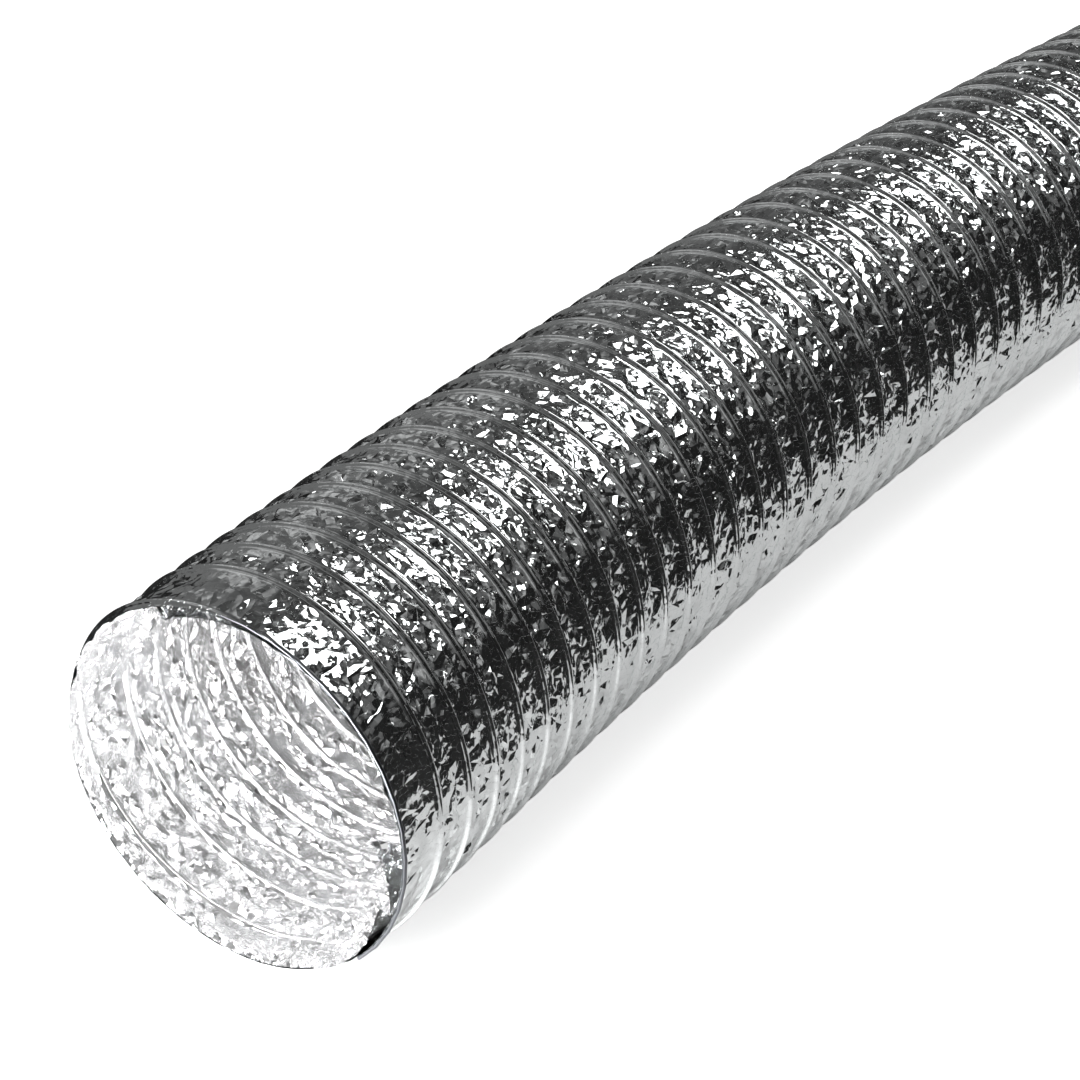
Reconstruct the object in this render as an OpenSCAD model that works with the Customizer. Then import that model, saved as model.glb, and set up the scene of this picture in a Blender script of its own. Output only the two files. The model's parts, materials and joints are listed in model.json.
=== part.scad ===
// Flexible air duct: a spring-steel wire wound in an unbroken helix between two foil plies.
// The inner ply makes the smooth bore, the outer ply is drawn over the wire and shows it as ribs.
// The helix is cut into short rigid sections, so that the duct can be drawn out, pushed together
// and bent at the seams between them. Millimetres, +Z up. The origin is the middle of the near
// mouth, and the duct starts along +X, lies flat and curves towards -Y.

/* [Duct] */
// Clear diameter of the bore, which slips over a round collar
bore_d = 102; // [80:1:160]
// Length that one turn of the wire takes at the near end
near_pitch = 12.2; // [9:0.1:16]
// Length that one turn of the wire takes at the far end
far_pitch = 17.8; // [9:0.1:20]
// Whole turns of the wire in one section
turns = 2; // [1:1:3]
// Sections from one end to the other
sections = 19; // [15:1:19]
// Foil past the wire at each cut end
cut_margin = 3; // [1.5:0.1:5]

/* [Foil] */
// Thickness of each foil ply with its share of glue
ply_t = 0.4; // [0.3:0.05:0.8]
// Thickness of the lapped foil that covers the wire
cover_t = 0.5; // [0.4:0.05:0.9]
// How far inside the wire's middle a rib's round back is struck, which slopes its flanks
rib_sink = 0.5; // [0.4:0.05:0.7]
// Glue line between the plies and around the wire
glue_gap = 0.08; // [0.07:0.01:0.12]

/* [Wire] */
// Diameter of the spring wire
wire_d = 1.0; // [0.8:0.05:1.6]
// Turn of the wire in degrees from its near end to the first crown
wire_lead = 135; // [30:5:175]
// Gap between the wire ends of two sections
wire_gap = 0.3; // [0.2:0.05:0.6]

/* [Lie] */
// Straight length at each end, for the collar
straight = 60; // [40:1:120]
// Angle between the two ends, seen from above
bend = 9; // [0:0.5:30]
// Gap between the foil of two sections
seam_gap = 0.3; // [0.2:0.05:0.6]
// Depth of the flats that the ribs rest on
rest_flat = 0.5; // [0.3:0.05:0.6]

/* [Hidden] */
$fn = 180;
foil_colour = "silver";
liner_colour = "gainsboro";
steel_colour = "slategray";

bore_r = bore_d / 2;
liner_r = bore_r + ply_t;                      // outside of the inner ply
skin_r = liner_r + glue_gap;                   // inside of the outer ply
wire_r = wire_d / 2;
helix_r = skin_r + wire_r;                     // middle of the wire, from the duct's axis
channel_r = wire_r + glue_gap;                 // room for the wire under the outer ply
rib_h = channel_r + cover_t;                   // from the wire's middle to the crest of its rib
crest_r = helix_r + rib_h;                     // outside of the duct over a rib
rest_z = -crest_r + rest_flat;
half_turns = 2 * turns;
big = 4 * crest_r;

// The turns stand a little wider apart from each section to the next.
function pitch(k) = near_pitch + (far_pitch - near_pitch) * (k - 1) / (sections - 1);
function section_l(k) = turns * pitch(k);
function seam_x(k) = k < 1 ? cut_margin : seam_x(k - 1) + section_l(k);
duct_l = seam_x(sections) + cut_margin;

// The bend is shared out among the seams that lie between the straight ends.
function bends_at(k) = k > 0 && k < sections && seam_x(k) >= straight && seam_x(k) <= duct_l - straight;
bent_seams = len([for (k = [1:sections - 1]) if (bends_at(k)) k]);
function kink(k) = bends_at(k) ? -bend / bent_seams : 0;
function heading(k) = k <= 1 ? 0 : heading(k - 1) + kink(k - 1);
function place(k) =
    k <= 1 ? [cut_margin, 0, 0]
    : place(k - 1) + section_l(k - 1) * [cos(heading(k - 1)), sin(heading(k - 1)), 0];

// Each half turn is a plane half circle that leans by a quarter of a pitch to each side. Two of
// them meet at a crown, at the top or the bottom, where both run level.
function lean(p) = atan(p / 4 / helix_r);
function half_turn_r(p) = helix_r / cos(lean(p));
crown_trim = 0.1;                              // degrees that a half turn stops short of a crown
crown_l = 0.6;
crown_rise = 0.06;                             // by how much a crown is stouter than the turns

// The wire's least gap to itself, measured between points a turn or so apart on its middle line.
gap_steps = 8;                                 // points on each half turn
wire_points = [
    for (k = [1:sections]) for (i = [0:half_turns - 1]) for (n = [0:gap_steps - 1])
        let (p = pitch(k), side = i % 2 == 0 ? 1 : -1, a = 180 * n / gap_steps,
            x = (i + 0.5) * p / 2 - p / 4 * cos(a), y = side * half_turn_r(p) * sin(a))
        place(k) + [
            x * cos(heading(k)) - y * sin(heading(k)),
            x * sin(heading(k)) + y * cos(heading(k)),
            side * helix_r * cos(a)
        ]
];
least_gap = min([
    for (n = [0:len(wire_points) - 1])
        for (m = [n + gap_steps:min(n + 3 * gap_steps, len(wire_points) - 1)])
            norm(wire_points[m] - wire_points[n])
]) - wire_d;
echo(least_gap_of_the_wire_to_itself = least_gap);

PIECES = ["wire", "inner_ply", "outer_ply"];
function name(piece, k) = str(piece, k < 10 ? "_0" : "_", k);

module in_section(k) {
    translate(place(k)) rotate([0, 0, heading(k)]) children();
}

// What runs along the helix: the wire, the rib over it, or the channel that is cut for the wire,
// which is square and open towards the duct's axis.
module profile(shape, grow = 0) {
    side = channel_r + grow;
    if (shape == "wire") circle(r = wire_r + grow, $fn = 40);
    if (shape == "rib") translate([-rib_sink, 0]) circle(r = rib_h + rib_sink + grow, $fn = 40);
    if (shape == "channel") translate([-2 * side, -side]) square([3 * side, 2 * side]);
}

// Half turn i, counted from a seam, with pitch p, between two angles from its first crown.
module half_turn(i, p, shape, from = crown_trim, to = 180 - crown_trim) {
    odd = i % 2 != 0;
    translate([(i + 0.5) * p / 2, 0, 0])
        rotate([0, 90 + (odd ? lean(p) : -lean(p)), 0])
            rotate([0, 0, (odd ? 360 : 180) - to])
                rotate_extrude(angle = to - from)
                    translate([half_turn_r(p), 0]) profile(shape);
}

// Crown i joins half turns i - 1 and i.
module crown(i, p, shape) {
    end_room = shape == "channel" ? 2 * glue_gap : 0;
    translate([i * p / 2, 0, 0]) rotate([i % 2 == 0 ? 0 : 180, 0, 0])
        translate([0, 0, helix_r]) rotate([0, -90, -90])
            linear_extrude(height = crown_l + end_room, center = true)
                profile(shape, crown_rise);
}

// The wire's free end lies square to the duct, from its cut end to the first crown.
module free_end(shape) {
    half_turn(-1, 0, shape, 180 - wire_lead, 180 - crown_trim);
}

// The helix in section k, with the half turns that reach in from the sections beside it.
module helix(k, shape) {
    if (k == 1) free_end(shape);
    else rotate([0, 0, -kink(k - 1)]) half_turn(-1, pitch(k - 1), shape);
    for (i = [0:half_turns - 1]) half_turn(i, pitch(k), shape);
    for (i = [0:k < sections ? half_turns : half_turns - 1]) crown(i, pitch(k), shape);
    if (k < sections)
        translate([section_l(k), 0, 0]) rotate([0, 0, kink(k)]) half_turn(0, pitch(k + 1), shape);
}

function start_x(k) = k == 1 ? -cut_margin : seam_gap / 2;
function past_end(k) = k == sections ? cut_margin : -seam_gap / 2;

// Keeps what lies between the section's two seams, which halve the kinks.
module between_seams(k) {
    difference() {
        children();
        rotate([0, 0, -kink(k - 1) / 2])
            translate([start_x(k) - big, -big / 2, -big / 2]) cube(big);
        translate([section_l(k), 0, 0]) rotate([0, 0, kink(k) / 2])
            translate([past_end(k), -big / 2, -big / 2]) cube(big);
    }
}

// A round tube body that runs past both of the section's ends.
module barrel(k, r, past) {
    translate([-past, 0, 0]) rotate([0, 90, 0]) cylinder(r = r, h = section_l(k) + 2 * past);
}

module wire(k) {
    trim = asin(wire_gap / 2 / helix_r);
    p = pitch(k);
    color(steel_colour) in_section(k) {
        if (k == 1) {
            free_end("wire");
            crown(0, p, "wire");
        }
        half_turn(0, p, "wire", from = k == 1 ? crown_trim : trim);
        for (i = [1:half_turns - 1]) crown(i, p, "wire");
        for (i = [1:half_turns - 2]) half_turn(i, p, "wire");
        half_turn(half_turns - 1, p, "wire", to = 180 - trim);
    }
}

module inner_ply(k) {
    color(liner_colour) in_section(k) between_seams(k)
        difference() {
            barrel(k, liner_r, pitch(k));
            barrel(k, bore_r, 2 * pitch(k));
        }
}

// The ribs are the wire's cover, and those at the bottom are flat where they carry the duct.
module ribs(k) {
    difference() {
        helix(k, "rib");
        translate([-big / 2, -big / 2, rest_z - big]) cube(big);
    }
}

module outer_ply(k) {
    color(foil_colour) in_section(k) between_seams(k)
        difference() {
            union() {
                barrel(k, skin_r + ply_t, pitch(k));
                ribs(k);
            }
            barrel(k, skin_r, 2 * pitch(k));
            helix(k, "channel");
        }
}

for (k = [1:sections]) {
    wire(k);
    inner_ply(k);
    outer_ply(k);
}
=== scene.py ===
import json
import math

import bmesh
import bpy
import numpy as np
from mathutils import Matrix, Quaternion, Vector

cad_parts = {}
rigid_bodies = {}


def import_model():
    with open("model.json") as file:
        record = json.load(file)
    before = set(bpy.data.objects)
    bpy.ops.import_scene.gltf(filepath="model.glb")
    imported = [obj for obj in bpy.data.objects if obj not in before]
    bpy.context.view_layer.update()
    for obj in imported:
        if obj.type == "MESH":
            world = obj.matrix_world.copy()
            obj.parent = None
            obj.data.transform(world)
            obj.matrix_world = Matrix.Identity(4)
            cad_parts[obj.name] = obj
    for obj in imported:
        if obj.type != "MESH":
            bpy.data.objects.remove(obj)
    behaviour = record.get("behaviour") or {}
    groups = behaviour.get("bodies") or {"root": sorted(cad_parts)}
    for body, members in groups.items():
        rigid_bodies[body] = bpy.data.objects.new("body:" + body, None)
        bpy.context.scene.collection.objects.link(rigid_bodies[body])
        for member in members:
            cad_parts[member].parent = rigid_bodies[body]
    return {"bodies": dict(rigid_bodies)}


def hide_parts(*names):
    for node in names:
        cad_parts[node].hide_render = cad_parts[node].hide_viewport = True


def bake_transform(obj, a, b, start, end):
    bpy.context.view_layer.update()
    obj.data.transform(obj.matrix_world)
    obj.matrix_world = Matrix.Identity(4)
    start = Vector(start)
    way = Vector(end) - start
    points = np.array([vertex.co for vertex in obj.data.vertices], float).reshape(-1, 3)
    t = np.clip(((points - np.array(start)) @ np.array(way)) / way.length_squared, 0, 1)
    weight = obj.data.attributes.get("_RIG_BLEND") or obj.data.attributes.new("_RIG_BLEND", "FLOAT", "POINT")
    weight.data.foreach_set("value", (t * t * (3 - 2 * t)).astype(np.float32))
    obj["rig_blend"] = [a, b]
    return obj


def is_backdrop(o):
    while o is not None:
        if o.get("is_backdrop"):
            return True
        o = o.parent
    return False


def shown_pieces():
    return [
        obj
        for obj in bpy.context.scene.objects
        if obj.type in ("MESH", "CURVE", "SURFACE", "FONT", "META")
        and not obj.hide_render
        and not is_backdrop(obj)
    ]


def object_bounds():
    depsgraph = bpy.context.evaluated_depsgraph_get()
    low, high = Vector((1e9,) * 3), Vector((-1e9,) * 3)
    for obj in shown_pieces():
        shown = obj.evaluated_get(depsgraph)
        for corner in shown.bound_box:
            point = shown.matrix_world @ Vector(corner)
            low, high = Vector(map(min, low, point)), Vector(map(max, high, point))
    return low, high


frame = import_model()
cadLow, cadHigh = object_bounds()
sectionCount = len(frame["bodies"])
print("frame loaded:", sectionCount, "sections")

# the duct's own measures, in metres and degrees
duct = {
    "nearPitch": 0.0122,
    "farPitch": 0.0178,
    "turnsInSection": 2,
    "cutMargin": 0.003,
    "straightEnd": 0.060,
    "bend": 9,
    "helixRadius": 0.05198,
}
spareTurns = 2  # of foil past each cut end, trimmed off later

# the real turns stand a little off their even places: the first is drawn out, the rest wander slowly
wander = {
    "middle": 0.0015, "swing": 0.0027, "turns": 23,
    "settled": 0.8, "fadesOver": 6,  # turns from the near end, and to the far end
    "atRim": 0.0024, "rimTurns": 1.2,
}


def pitchOf(section):
    share = (section - 1) / (sectionCount - 1)
    return duct["nearPitch"] + (duct["farPitch"] - duct["nearPitch"]) * share


seams = [duct["cutMargin"]]
for section in range(1, sectionCount + 1):
    seams.append(seams[-1] + duct["turnsInSection"] * pitchOf(section))
ductLength = seams[-1] + duct["cutMargin"]
lastTurn = duct["turnsInSection"] * sectionCount

bentSeams = [
    k for k in range(1, sectionCount)
    if duct["straightEnd"] <= seams[k] <= ductLength - duct["straightEnd"]
]
kink = -math.radians(duct["bend"]) / len(bentSeams)
middles = [(seams[k] + seams[k + 1]) / 2 for k in range(sectionCount)]
headings = [kink * sum(b <= k for b in bentSeams) for k in range(sectionCount)]

# the duct's middle line: stations along it, and its heading at each
lineRoom, linePoints = 0.06, 1400
lineAt = np.linspace(-lineRoom, ductLength + lineRoom, linePoints)
lineTurn = np.interp(lineAt, middles, headings)


def runningSum(slope):
    steps = (slope[1:] + slope[:-1]) / 2 * np.diff(lineAt)
    total = np.concatenate([[0], np.cumsum(steps)])
    return total - np.interp(0, lineAt, total)


lineX, lineY = runningSum(np.cos(lineTurn)), runningSum(np.sin(lineTurn))


# points at a turn about the axis (0 top, 1/4 towards +Y), a station along it and a radius
def wrap(turn, station, radius):
    angle = 2 * np.pi * np.asarray(turn)
    heading = np.interp(station, lineAt, lineTurn)
    side = radius * np.sin(angle)
    x = np.interp(station, lineAt, lineX) - side * np.sin(heading)
    y = np.interp(station, lineAt, lineY) + side * np.cos(heading)
    return np.stack([x, y, radius * np.cos(angle)], -1)


def ease(t):
    t = np.clip(t, 0, 1)
    return t * t * (3 - 2 * t)


beforeFirst = 0.032  # length of the two spare turns before the first seam
turnMarks = np.arange(-1, sectionCount + 2) * duct["turnsInSection"]
seamMarks = np.array([seams[0] - beforeFirst] + seams + [seams[-1] + 2 * duct["farPitch"]])


# where along the duct the wire is, so many turns from its first crown
def wireStation(turn):
    turn = np.asarray(turn, float)
    swing = wander["swing"] * np.cos(2 * np.pi * (turn - 1) / wander["turns"])
    drift = ease(turn / wander["settled"]) * (wander["middle"] + swing)
    end = ease((lastTurn - turn) / wander["fadesOver"])
    atRim = wander["atRim"] * (1 - ease(turn / wander["rimTurns"]))
    return np.interp(turn, turnMarks, seamMarks) + drift * end - atRim


# a ply is laid out flat first: x round the duct, y along it, z away from its axis
outerPly = {
    "radius": 0.05185, "outward": True, "seed": 11, "crease": 9, "columns": 129, "rowsBetweenRibs": 3,
    # half of a rib: how far from the wire, and how far out
    "ribSteps": [
        (0, 0.00105), (0.00026, 0.00099), (0.00047, 0.00081), (0.00063, 0.00055), (0.00078, 0.00026),
        (0.0011, 0.00006), (0.0018, 0)],
    # the foil between two ribs sags, and near the mouth it has a low ridge half way
    "sag": 0.0002, "firstSag": 0.0003, "firstSkew": 1.8, "ridge": 0.0004, "ridgeTurns": 9,
    # the crumples: lifts of the coarse corners, then of those between them, and the span they keep to
    "firstLift": 0.0007, "firstCalm": 0.4, "lifts": [0.00026, 0.00006], "skirtLifts": (0.0005, 0.0001),
    "slip": 0.4, "evenness": 2, "span": (-0.0008, 0.003), "rimHeight": -0.0005,
}
innerPly = {
    "radius": 0.05075, "outward": False, "seed": 23, "crease": 10, "columns": 96, "rowsBetweenRibs": 3,
    "ribSteps": [(0, -0.00055), (0.00035, -0.00047), (0.0008, -0.0002), (0.0013, 0)],
    "sag": 0.0001, "firstSag": 0.0006, "firstSkew": 1, "ridge": 0, "ridgeTurns": 9,
    "firstLift": 0.0014, "firstCalm": 1.1, "lifts": [0.0006, 0.00006], "skirtLifts": (0.0004, 0.0004),
    "slip": 0.4, "evenness": 1.4, "span": (-0.004, 0.0003),  # clear of the other ply
    "rimHeight": 0.0006,
}
# turns over which the first band of foil comes to be like the rest
firstBand = {"sagFrom": 0.5, "sagOver": 1.5, "calmFrom": 0.4}
# shares of a rib's half width: the foil between ribs, just past a rib's edge, and what stays round
ribShares = {"between": 1.5, "past": 1.01, "round": 0.75}
sameDistance = 0.00001  # two corners of foil that are as far from the wire as each other

# the cut margin has a calm lip below the wire's first turn
lip = {"fromTurn": 0.2, "tillTurn": -0.42, "soft": 0.07, "flare": 0.0007, "length": 0.009, "calm": 0.1}
# corners of the inner ply's margin that are folded in: deepest at one turn, and run out at another
folds = [
    {"deepest": -0.238, "runOut": -0.31, "depth": 0.0085, "length": 0.0085},
    {"deepest": -0.3101, "runOut": -0.375, "depth": 0.004, "length": 0.0085},
    {"deepest": 0.055, "runOut": -0.03, "depth": 0.0035, "length": 0.006},
]
foldCalm = 0.04  # turns to each side of a fold's middle where the foil is calm
pinch = 0.0028  # how near a cut edge the two plies come together
girth = 2 * math.pi * duct["helixRadius"]


def crossesRib(edge, ribHalf, layer):
    near, far = (v[layer] for v in edge.verts)
    return max(near, far) < ribHalf * ribShares["past"] and abs(near - far) > sameDistance


# 1 where the cut margin is a smooth lip, on the left and underneath
def lipShare(turn):
    left = ease((turn - lip["fromTurn"]) / lip["soft"])
    right = ease((lip["tillTurn"] - turn) / lip["soft"])
    return np.maximum(left, right)


# 1 where a corner of the margin is folded in
def foldShare(turn):
    centres = [(fold["deepest"] + fold["runOut"]) / 2 for fold in folds]
    return np.any([np.abs(turn - centre) < foldCalm for centre in centres], axis=0)


# how far the margin at a cut end stands out from the rest of its ply
def rimShape(turn, station, look):
    toEnd = np.minimum(station, ductLength - station)
    together = look["rimHeight"] * np.clip(1 - toEnd / pinch, 0, 1) ** 2
    flare = lip["flare"] * lipShare(turn) * np.clip(1 - station / lip["length"], 0, 1)
    if look["outward"]:
        return together + flare
    inwards = np.zeros_like(station)
    for fold in folds:
        across = (turn - fold["runOut"]) / (fold["deepest"] - fold["runOut"])
        along = 1 - station / fold["length"]
        across = np.where(across <= 1, np.clip(across, 0, 1), 0)
        inwards += fold["depth"] * across * np.clip(along, 0, 1)
    return together + flare - inwards


# most corners of the facets stay low, and a few stand out
def randomLift(even, look):
    return np.sign(even) * np.abs(even) ** look["evenness"]


# the whole ply in coarse facets, with rows that follow the wire
def flatPly(look):
    rng = np.random.default_rng(look["seed"])
    columns, between, ribSteps = look["columns"], look["rowsBetweenRibs"], look["ribSteps"]
    half, ribHalf = len(ribSteps) - 1, ribSteps[-1][0]
    perTurn = 2 * half + 1 + between
    rows = perTurn * (lastTurn + 2 * spareTurns)
    bm = bmesh.new()
    bmesh.ops.create_grid(bm, x_segments=columns, y_segments=rows, size=0.5)
    layer = bm.verts.layers.float.new("fromWire")
    places = {(round((v.co.y + 0.5) * rows), round((v.co.x + 0.5) * columns)): v for v in bm.verts}
    share = np.arange(columns + 1) / columns - 0.5
    for row in range(rows + 1):
        turn = row // perTurn - spareTurns + share
        step = row % perTurn
        here, gap = wireStation(turn), wireStation(turn + 1) - wireStation(turn)
        slips = rng.uniform(-1, 1, (3, columns + 1)) * (np.abs(share) < 0.5)
        if half < step <= half + between:
            depth = (step - half) / (between + 1)
            along = ribHalf + (gap - 2 * ribHalf) * depth
            along = along + slips[1] * look["slip"] * gap / (between + 2)
            first = 1 - ease((turn - firstBand["sagFrom"]) / firstBand["sagOver"])
            skewed = depth ** (1 + (look["firstSkew"] - 1) * first)
            sag = (look["sag"] + look["firstSag"] * first) * np.sin(np.pi * skewed)
            ridge = look["ridge"] * max(0, 1 - abs(4 * depth - 2))
            ridge = ridge * (1 - ease(turn / look["ridgeTurns"]))
            calm = look["firstCalm"] + (1 - look["firstCalm"]) * ease(turn - firstBand["calmFrom"])
            atRim = (turn < 0) & (lipShare(share) + foldShare(share) > 0)
            calm = np.where(atRim, lip["calm"], calm)
            lift = randomLift(slips[2], look) * look["firstLift"] * calm
            height = ridge - sag + lift
            across = slips[0] * look["slip"] / columns
            fromWire = np.full(columns + 1, ribShares["between"] * ribHalf)
        else:
            place, lift = ribSteps[step if step <= half else perTurn - step]
            along = np.full(columns + 1, place) if step <= half else gap - place
            height, across = np.full(columns + 1, lift), np.zeros(columns + 1)
            if place == ribHalf:
                height = height + randomLift(slips[2], look) * look["skirtLifts"][step > half]
            fromWire = np.full(columns + 1, place)
        for column in range(columns + 1):
            v = places[row, column]
            v.co = (
                (share[column] + across[column]) * girth, here[column] + along[column], height[column])
            v[layer] = fromWire[column]
    loose = [f for f in bm.faces if max(v[layer] for v in f.verts) > ribShares["past"] * ribHalf]
    bmesh.ops.triangulate(bm, faces=loose, quad_method="SHORT_EDGE")
    return bm


def cutAcross(bm, station, drop):
    bmesh.ops.bisect_plane(
        bm, geom=bm.verts[:] + bm.edges[:] + bm.faces[:], dist=1e-7,
        plane_co=(0, station, 0), plane_no=(0, 1, 0),
        clear_outer=drop == "after", clear_inner=drop == "before")


# halves the facets and lifts or sinks their new corners, but not along a border or a rib
def crumple(bm, look, rng):
    layer = bm.verts.layers.float["fromWire"]
    ribHalf = look["ribSteps"][-1][0]
    for lift in look["lifts"]:
        known = len(bm.verts)
        edges = [e for e in bm.edges if not crossesRib(e, ribHalf, layer)]
        bmesh.ops.subdivide_edges(bm, edges=edges, cuts=1, use_grid_fill=True)
        bm.verts.ensure_lookup_table()
        fresh = bm.verts[known:]
        moves = randomLift(rng.uniform(-1, 1, len(fresh)), look) * lift
        for v, move in zip(fresh, moves):
            if v[layer] > ribHalf * ribShares["past"] and not v.is_boundary:
                v.co.z += move


# rolls the flat piece round the duct, closes it underneath and makes it an object
def finishPly(bm, look, name):
    places = np.array([v.co for v in bm.verts])
    turn, station = places[:, 0] / girth, places[:, 1]
    radius = look["radius"] + np.clip(places[:, 2], *look["span"]) + rimShape(turn, station, look)
    rolled = wrap(turn, station, radius)
    rolled[:, 2] = np.maximum(rolled[:, 2], cadLow.z)
    for v, place in zip(bm.verts, rolled):
        v.co = place
    border = [v for v in bm.verts if v.is_boundary]
    bmesh.ops.remove_doubles(bm, verts=border, dist=2e-6)
    bmesh.ops.triangulate(bm, faces=bm.faces)
    if look["outward"]:
        bmesh.ops.reverse_faces(bm, faces=bm.faces)
    return meshObject(bm, name, look["crease"], look["ribSteps"][-1][0])


# a rib stays round, whatever the angle between its strips
def softenRibs(mesh, ribHalf):
    fromWire = np.empty(len(mesh.vertices), np.float32)
    mesh.attributes["fromWire"].data.foreach_get("value", fromWire)
    ends = np.empty(2 * len(mesh.edges), np.int32)
    mesh.edges.foreach_get("vertices", ends)
    sharp = np.empty(len(mesh.edges), bool)
    mesh.attributes["sharp_edge"].data.foreach_get("value", sharp)
    sharp &= fromWire[ends].reshape(-1, 2).max(1) > ribHalf * ribShares["round"]
    mesh.attributes["sharp_edge"].data.foreach_set("value", sharp)


def meshObject(bm, name, crease, ribHalf=0):
    mesh = bpy.data.meshes.new(name)
    bm.to_mesh(mesh)
    bm.free()
    mesh.shade_smooth()
    mesh.set_sharp_from_angle(angle=math.radians(crease))
    if ribHalf:
        softenRibs(mesh, ribHalf)
    obj = bpy.data.objects.new(name, mesh)
    bpy.context.scene.collection.objects.link(obj)
    return obj


# each visible piece reaches from the middle of one section to the middle of the next
borders = [float(wireStation(duct["turnsInSection"] * (k + 0.5))) for k in range(sectionCount)]
# this piece's bend is worked out from its far side, where the rounding of a pose does no harm
bentFromFarSide = 6


# bends the piece between its two sections and lets it stand for their solids
def joinSections(obj, k, kind, material):
    start, end = wrap([0, 0], borders[k - 1:k + 1], 0)
    if k == bentFromFarSide:
        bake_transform(obj, f"section_{k + 1:02d}", f"section_{k:02d}", start=end, end=start)
    else:
        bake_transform(obj, f"section_{k:02d}", f"section_{k + 1:02d}", start=start, end=end)
    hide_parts(*[f"{kind}_{n:02d}" for n in ([1, 2] if k == 1 else [k + 1])])
    obj.data.materials.append(material)


def makePly(look, kind, name, material):
    rest = flatPly(look)
    rng = np.random.default_rng(look["seed"] + 1)
    cutAcross(rest, 0, "before")
    cutAcross(rest, ductLength, "after")
    for k in range(1, sectionCount):
        piece = rest.copy()
        if k < sectionCount - 1:
            cutAcross(piece, borders[k], "after")
            cutAcross(rest, borders[k], "before")
        crumple(piece, look, rng)
        joinSections(finishPly(piece, look, f"{name}_{k:02d}"), k, kind, material)
    rest.free()


# the lead is the part of a turn before the first crown
wire = {"radius": 0.0005, "sides": 8, "stepsInTurn": 40, "lead": 0.375, "crease": 60}


def makeWire(material):
    for k in range(1, sectionCount):
        first = -wire["lead"] if k == 1 else 2 * k - 1
        last = lastTurn if k == sectionCount - 1 else 2 * k + 1
        steps = round((last - first) * wire["stepsInTurn"])
        bm = bmesh.new()
        bmesh.ops.create_grid(bm, x_segments=wire["sides"], y_segments=steps, size=0.5)
        flat = np.array([v.co for v in bm.verts])
        aroundWire = 2 * np.pi * flat[:, 0]
        turn = first + (flat[:, 1] + 0.5) * (last - first)
        station = wireStation(np.maximum(turn, 0)) + wire["radius"] * np.sin(aroundWire)
        tube = wrap(turn, station, duct["helixRadius"] + wire["radius"] * np.cos(aroundWire))
        for v, place in zip(bm.verts, tube):
            v.co = place
        bmesh.ops.remove_doubles(bm, verts=bm.verts, dist=1e-6)
        bmesh.ops.holes_fill(bm, edges=bm.edges)
        bmesh.ops.recalc_face_normals(bm, faces=bm.faces)
        obj = meshObject(bm, f"springWire_{k:02d}", wire["crease"])
        joinSections(obj, k, "wire", material)


def addNode(tree, kind, inputs={}, **settings):
    node = tree.nodes.new(kind)
    for name, value in settings.items():
        setattr(node, name, value)
    for name, value in inputs.items():
        if isinstance(value, bpy.types.NodeSocket):
            tree.links.new(value, node.inputs[name])
        else:
            node.inputs[name].default_value = value
    return node


def mapped(tree, value, fromRange, toRange):
    return addNode(tree, "ShaderNodeMapRange", {
        "Value": value, "From Min": fromRange[0], "From Max": fromRange[1],
        "To Min": toRange[0], "To Max": toRange[1]}).outputs["Result"]


# flat facets that lean at random, as a height in metres
def facetGroup():
    tree = bpy.data.node_groups.new("foilFacets", "ShaderNodeTree")
    tree.interface.new_socket("Place", in_out="INPUT", socket_type="NodeSocketVector")
    tree.interface.new_socket("Facets per Metre", in_out="INPUT", socket_type="NodeSocketFloat")
    tree.interface.new_socket("Lean", in_out="INPUT", socket_type="NodeSocketFloat")
    tree.interface.new_socket("Height", in_out="OUTPUT", socket_type="NodeSocketFloat")
    entry = addNode(tree, "NodeGroupInput")
    cells = addNode(tree, "ShaderNodeTexVoronoi", {
        "Vector": entry.outputs["Place"], "Scale": entry.outputs["Facets per Metre"]})
    fromMiddle = addNode(tree, "ShaderNodeVectorMath", {
        0: entry.outputs["Place"], 1: cells.outputs["Position"]}, operation="SUBTRACT")
    lean = addNode(tree, "ShaderNodeVectorMath", {
        0: cells.outputs["Color"], 1: (0.5, 0.5, 0.5)}, operation="SUBTRACT")
    slope = addNode(tree, "ShaderNodeVectorMath", {
        0: fromMiddle.outputs[0], 1: lean.outputs[0]}, operation="DOT_PRODUCT")
    height = addNode(tree, "ShaderNodeMath", {
        0: slope.outputs["Value"], 1: entry.outputs["Lean"]}, operation="MULTIPLY")
    leave = addNode(tree, "NodeGroupOutput")
    tree.links.new(height.outputs[0], leave.inputs["Height"])
    return tree


foilFinish = {
    "colour": (0.89, 0.91, 0.91), "worn": 0.88, "metallic": 1, "roughness": 0.045, "roughSpread": 0.09,
    "patches": 60, "facets": 620, "lean": 0.12, "grain": 2600, "grainDepth": 0.000004,
}
linerFinish = {
    "colour": (0.98, 0.98, 0.985), "worn": 0.97, "metallic": 0.94, "roughness": 0.05, "roughSpread": 0.07,
    "patches": 60, "facets": 300, "lean": 0.08, "grain": 2600, "grainDepth": 0.000004,
}
patchRange = (0.3, 0.7)  # of the noise that dulls and darkens the foil in patches
wireFinish = {"colour": (0.14, 0.145, 0.155, 1), "metallic": 1, "roughness": (0.22, 0.47), "drawMarks": 900}


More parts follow.
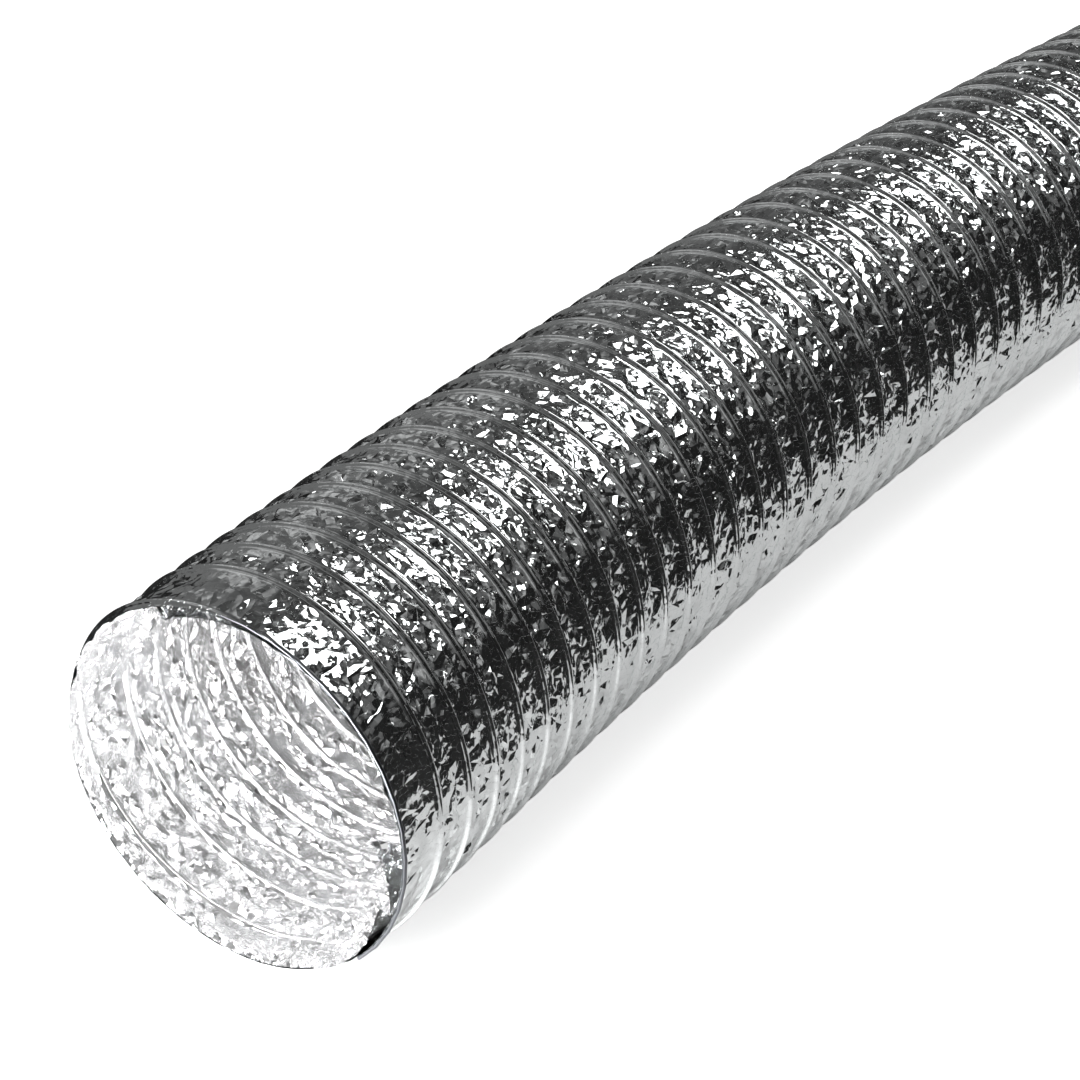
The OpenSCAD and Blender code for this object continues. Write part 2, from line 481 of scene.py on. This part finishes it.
def foilMaterial(name, look, facets):
    material = bpy.data.materials.new(name)
    material.use_nodes = True
    tree = material.node_tree
    surface = tree.nodes["Principled BSDF"]
    surface.inputs["Metallic"].default_value = look["metallic"]
    place = addNode(tree, "ShaderNodeTexCoord").outputs["Object"]
    patches = addNode(tree, "ShaderNodeTexNoise", {
        "Vector": place, "Scale": look["patches"], "Detail": 3}).outputs["Fac"]
    rough = mapped(tree, patches, patchRange, (look["roughness"], look["roughness"] + look["roughSpread"]))
    tint = mapped(tree, patches, patchRange, (look["worn"], 1))
    colour = addNode(tree, "ShaderNodeVectorMath", {
        0: look["colour"], "Scale": tint}, operation="SCALE")
    lean = addNode(tree, "ShaderNodeGroup", node_tree=facets)
    lean.inputs["Facets per Metre"].default_value = look["facets"]
    lean.inputs["Lean"].default_value = look["lean"]
    tree.links.new(place, lean.inputs["Place"])
    grain = addNode(tree, "ShaderNodeTexNoise", {"Vector": place, "Scale": look["grain"], "Detail": 2})
    height = addNode(tree, "ShaderNodeMath", {
        0: grain.outputs["Fac"], 1: look["grainDepth"], 2: lean.outputs["Height"]},
        operation="MULTIPLY_ADD")
    bump = addNode(tree, "ShaderNodeBump", {
        "Strength": 1.0, "Distance": 1.0, "Height": height.outputs[0]})
    tree.links.new(colour.outputs[0], surface.inputs["Base Color"])
    tree.links.new(rough, surface.inputs["Roughness"])
    tree.links.new(bump.outputs["Normal"], surface.inputs["Normal"])
    return material


def wireMaterial():
    material = bpy.data.materials.new("springSteel")
    material.use_nodes = True
    tree = material.node_tree
    surface = tree.nodes["Principled BSDF"]
    place = addNode(tree, "ShaderNodeTexCoord").outputs["Object"]
    marks = addNode(tree, "ShaderNodeTexNoise", {
        "Vector": place, "Scale": wireFinish["drawMarks"], "Detail": 3})
    rough = mapped(tree, marks.outputs["Fac"], (0, 1), wireFinish["roughness"])
    surface.inputs["Base Color"].default_value = wireFinish["colour"]
    surface.inputs["Metallic"].default_value = wireFinish["metallic"]
    tree.links.new(rough, surface.inputs["Roughness"])
    return material


facets = facetGroup()
makePly(outerPly, "outer_ply", "outerFoil", foilMaterial("outerFoil", foilFinish, facets))
print("outer foil made")
makePly(innerPly, "inner_ply", "innerFoil", foilMaterial("innerFoil", linerFinish, facets))
print("inner foil made")
makeWire(wireMaterial())
print("wire made")


# the floor's glow is for the camera alone
stage = {"floorSize": 6, "floorShade": 0.8, "floorRough": 0.6, "floorGlow": 0.74}
lamps = [
    # name, shape, place, aim, roll in degrees, size, power, shows in the foil
    ("softboxBehind", "RECTANGLE", (1.46, -0.30, 1.68), (0.25, 0, 0), 14, (1.4, 0.74), 13, True),
    ("lampAtMouth", "ELLIPSE", (-0.055, 0, 0.004), (0.1, 0, 0), 0, (0.085, 0.085), 0.36, True),
    ("overhead", "RECTANGLE", (0.3, 0, 2.2), (0.3, 0, 0), 0, (1.6, 1.6), 25, False),
]
# dark screens stand on each side of the duct and show only in the foil
screens = {
    "far": 0.15, "high": 0.1, "start": -0.3, "end": 1.5, "bow": 0.15, "offFloor": 0.001,
    "shade": 0.012, "rough": 0.9, "steps": 24,
}
# how bright the air is in the foil, by the direction it is seen in
air = {
    "above": (0.36, 0.62), "cloudSize": 1.8, "cloudRange": (0.42, 0.66), "clouds": (0.02, 0.4),
    "left": (0.2, 0.8), "leftShade": (0.014, 0.16),
}
# angles in radians, and the focal length in pixels of a picture this wide
view = {
    "azimuth": 0.5495, "dip": 0.5310, "place": (-0.3634, -0.3121, 0.3497),
    "focal": 2380.9, "wide": 1080, "sensor": 36, "clip": (0.01, 20),
}
flatCrease = 30  # degrees, for the floor and the screens


def plainMaterial(name, shade, rough):
    material = bpy.data.materials.new(name)
    material.use_nodes = True
    surface = material.node_tree.nodes["Principled BSDF"]
    surface.inputs["Base Color"].default_value = (shade, shade, shade, 1)
    surface.inputs["Roughness"].default_value = rough
    return material


def makeFloor():
    bm = bmesh.new()
    bmesh.ops.create_grid(bm, x_segments=1, y_segments=1, size=stage["floorSize"] / 2)
    for v in bm.verts:
        v.co.z = cadLow.z
    floor = meshObject(bm, "floor", flatCrease)
    floor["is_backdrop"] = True
    material = plainMaterial("paleFloor", stage["floorShade"], stage["floorRough"])
    tree = material.node_tree
    surface = tree.nodes["Principled BSDF"]
    seen = addNode(tree, "ShaderNodeLightPath").outputs["Is Camera Ray"]
    glow = addNode(tree, "ShaderNodeCombineColor", {"Red": seen, "Green": seen, "Blue": seen})
    tree.links.new(glow.outputs["Color"], surface.inputs["Emission Color"])
    surface.inputs["Emission Strength"].default_value = stage["floorGlow"]
    floor.data.materials.append(material)


def makeScreens():
    material = plainMaterial("darkScreen", screens["shade"], screens["rough"])
    base = cadLow.z + screens["offFloor"]
    for name, side in (("screenRight", -1), ("screenLeft", 1)):
        bm = bmesh.new()
        bmesh.ops.create_grid(bm, x_segments=screens["steps"], y_segments=1, size=0.5)
        for v in bm.verts:
            x = screens["start"] + (screens["end"] - screens["start"]) * (v.co.x + 0.5)
            y = side * screens["far"] - screens["bow"] * max(x, 0) ** 2
            v.co = (x, y, base + screens["high"] * (v.co.y + 0.5))
        screen = meshObject(bm, name, flatCrease)
        screen.data.materials.append(material)
        screen.visible_camera = screen.visible_diffuse = screen.visible_shadow = False
        screen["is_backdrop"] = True


def makeLamps():
    for name, shape, place, aim, roll, size, power, shows in lamps:
        light = bpy.data.lights.new(name, "AREA")
        light.shape, light.size, light.size_y, light.energy = shape, *size, power
        obj = bpy.data.objects.new(name, light)
        obj.location = place
        turned = (Vector(aim) - Vector(place)).to_track_quat("-Z", "Y")
        turned @= Quaternion((0, 0, 1), math.radians(roll))
        obj.rotation_euler = turned.to_euler()
        obj.visible_camera, obj.visible_glossy = False, shows
        bpy.context.scene.collection.objects.link(obj)


# white to the camera; to the foil it is dark low down, and grey above and on the left
def makeWorld():
    world = bpy.data.worlds.new("studio")
    bpy.context.scene.world = world
    world.use_nodes = True
    tree = world.node_tree
    background = tree.nodes["Background"]
    rays = addNode(tree, "ShaderNodeLightPath")
    direction = addNode(tree, "ShaderNodeTexCoord").outputs["Generated"]
    parts = addNode(tree, "ShaderNodeSeparateXYZ", {"Vector": direction})
    above = mapped(tree, parts.outputs["Z"], air["above"], (0, 1))
    clouds = addNode(tree, "ShaderNodeTexNoise", {
        "Vector": direction, "Scale": air["cloudSize"], "Detail": 1})
    patches = mapped(tree, clouds.outputs["Fac"], air["cloudRange"], air["clouds"])
    left = mapped(tree, parts.outputs["Y"], air["left"], air["leftShade"])
    sky = addNode(tree, "ShaderNodeMath", {0: above, 1: patches, 2: left}, operation="MULTIPLY_ADD")
    shade = addNode(tree, "ShaderNodeMath", {
        0: sky.outputs[0], 1: rays.outputs["Is Camera Ray"]}, operation="MAXIMUM")
    background.inputs["Color"].default_value = (1, 1, 1, 1)
    tree.links.new(shade.outputs[0], background.inputs["Strength"])


def makeCamera():
    camera = bpy.data.cameras.new("camera")
    camera.sensor_width = view["sensor"]
    camera.lens = view["sensor"] * view["focal"] / view["wide"]
    camera.clip_start, camera.clip_end = view["clip"]
    obj = bpy.data.objects.new("camera", camera)
    obj.location = view["place"]
    level = math.cos(view["dip"])
    look = Vector((
        level * math.cos(view["azimuth"]), level * math.sin(view["azimuth"]), -math.sin(view["dip"])))
    obj.rotation_euler = look.to_track_quat("-Z", "Y").to_euler()
    bpy.context.scene.collection.objects.link(obj)
    bpy.context.scene.camera = obj


makeFloor()
makeScreens()
makeLamps()
makeWorld()
makeCamera()
bpy.context.scene.view_settings.view_transform = "Standard"
print("stage made")

faceCounts = [len(piece.data.polygons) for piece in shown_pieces()]
print("faces:", sum(faceCounts), "and most in a piece:", max(faceCounts))
